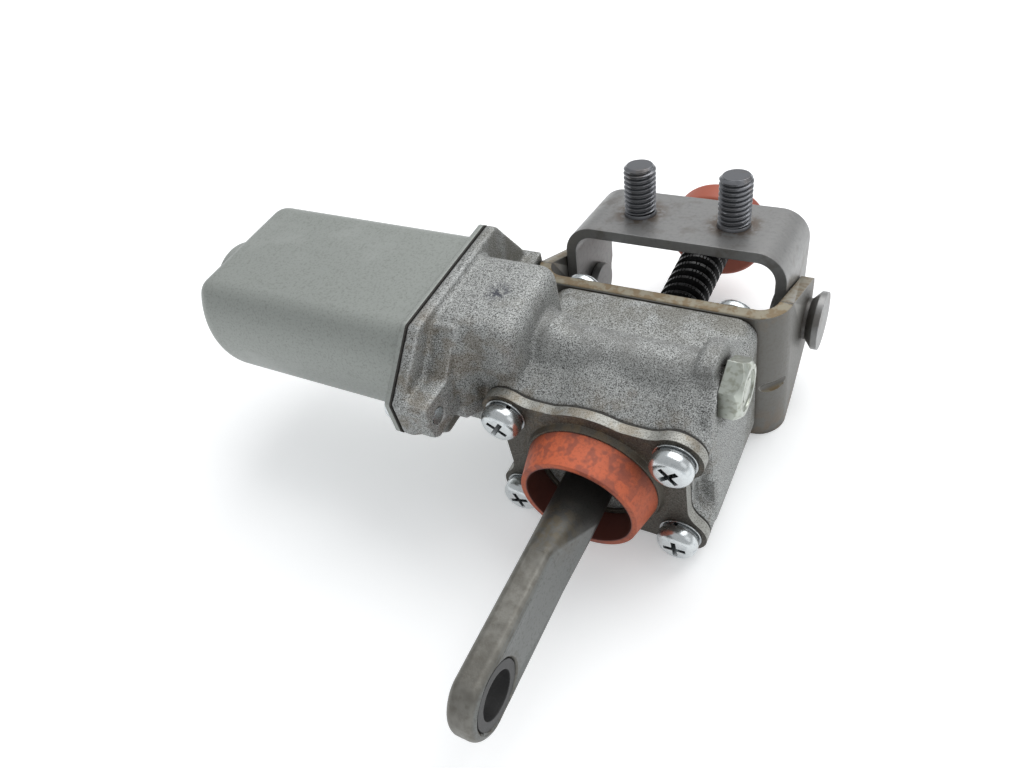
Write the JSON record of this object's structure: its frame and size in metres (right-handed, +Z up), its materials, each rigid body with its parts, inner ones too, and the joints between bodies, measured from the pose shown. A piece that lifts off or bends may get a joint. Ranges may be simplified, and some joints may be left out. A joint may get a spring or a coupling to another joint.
{
  "type": "seat adjustment motor",
  "caption": "Electric seat adjuster with a worm gearbox, a non-turning lead screw with an eye, a rear yoke and a swivelling stud bracket.",
  "frame": {"origin": "centre of the bore in the eye at the front end of the lead screw", "axes": "+X along the bore of the eye and along the motor shaft, with the motor at -X; +Y along the lead screw, from the eye towards the rear stop; +Z up, towards the studs"},
  "size_m": [0.1462, 0.1684, 0.0569],
  "materials": {
    "cast": "rough die-cast aluminium, light grey, speckled by handling",
    "cover": "die-cast aluminium cover, darker and oiled",
    "can_steel": "drawn steel can, grey-green zinc",
    "zinc": "bright zinc-plated screws",
    "hex_zinc": "bright zinc-plated hexagon bolt",
    "rod_steel": "dark oiled forged steel",
    "bracket_steel": "pressed steel, dull zinc",
    "yoke_steel": "pressed steel, dull zinc with light rust on the cut edge",
    "orange_rubber": "orange rubber stop, scuffed",
    "black_rubber": "black rubber",
    "dark_stop": "dark red rubber stop",
    "gasket": "black fibre gasket",
    "bronze": "sintered bronze",
    "copper": "enamelled copper",
    "gear_plastic": "natural acetal",
    "card_plastic": "black moulded plastic",
    "bright_steel": "ground steel",
    "core_steel": "laminated steel",
    "ferrite": "ferrite magnet",
    "carbon": "carbon brush"
  },
  "bodies": {
    "housing": {"front_stop": "orange_rubber", "gearbox_cover": "cover", "cover_gasket": "gasket", "cover_screws": "zinc", "cover_screw_washers": "zinc", "rod_guide": "cast", "nut_bearing_front": "bronze", "nut_bearing_rear": "bronze", "thrust_washers": "bright_steel", "brushes": "carbon", "brush_springs": "bright_steel", "brush_card": "card_plastic", "motor_can": "can_steel", "motor_gasket": "gasket", "field_magnets": "ferrite", "motor_screws": "zinc", "can_bush": "bronze", "neck_bush": "bronze", "nose_bush": "bronze", "thrust_pad": "card_plastic", "adjuster_bolt": "hex_zinc", "gearbox_case": "cast", "lead_grommet": "black_rubber", "yoke": "yoke_steel", "yoke_screws": "zinc", "pivot_pins": "bracket_steel"},
    "armature": {"armature_shaft": "bright_steel", "armature_core": "core_steel", "armature_windings": "copper", "commutator": "copper"},
    "wheel_nut": {"worm_wheel": "gear_plastic", "drive_nut": "bright_steel"},
    "lead_screw": {"lead_screw": "rod_steel", "eye_bush": "card_plastic", "rear_stop": "dark_stop", "stop_washer": "zinc", "end_nut": "zinc"},
    "swivel_bracket": {"swivel_bracket": "bracket_steel", "mounting_studs": "bright_steel"}
  },
  "joints": [
    {"name": "armature_spin", "type": "hinge", "parent": "housing", "child": "armature", "pos_m": [0, 0.0699, 0.01982], "axis": [1, 0, 0], "range_deg": [-135000, 36000]},
    {"name": "wheel_spin", "type": "hinge", "parent": "housing", "child": "wheel_nut", "pos_m": [0, 0.0699, 0], "axis": [0, 1, 0], "range_deg": [-1440, 5400]},
    {"name": "screw_slide", "type": "slide", "parent": "housing", "child": "lead_screw", "axis": [0, 1, 0], "range_m": [-0.045, 0.012]},
    {"name": "bracket_swivel", "type": "hinge", "parent": "housing", "child": "swivel_bracket", "pos_m": [0, 0.1145, 0], "axis": [1, 0, 0], "range_deg": [-10, 25]}
  ],
  "couplings": [
    {"joint": "wheel_spin", "follows": "armature_spin", "ratio": -0.04},
    {"joint": "screw_slide", "follows": "armature_spin", "m_per_rad": 0.000019099}
  ]
}
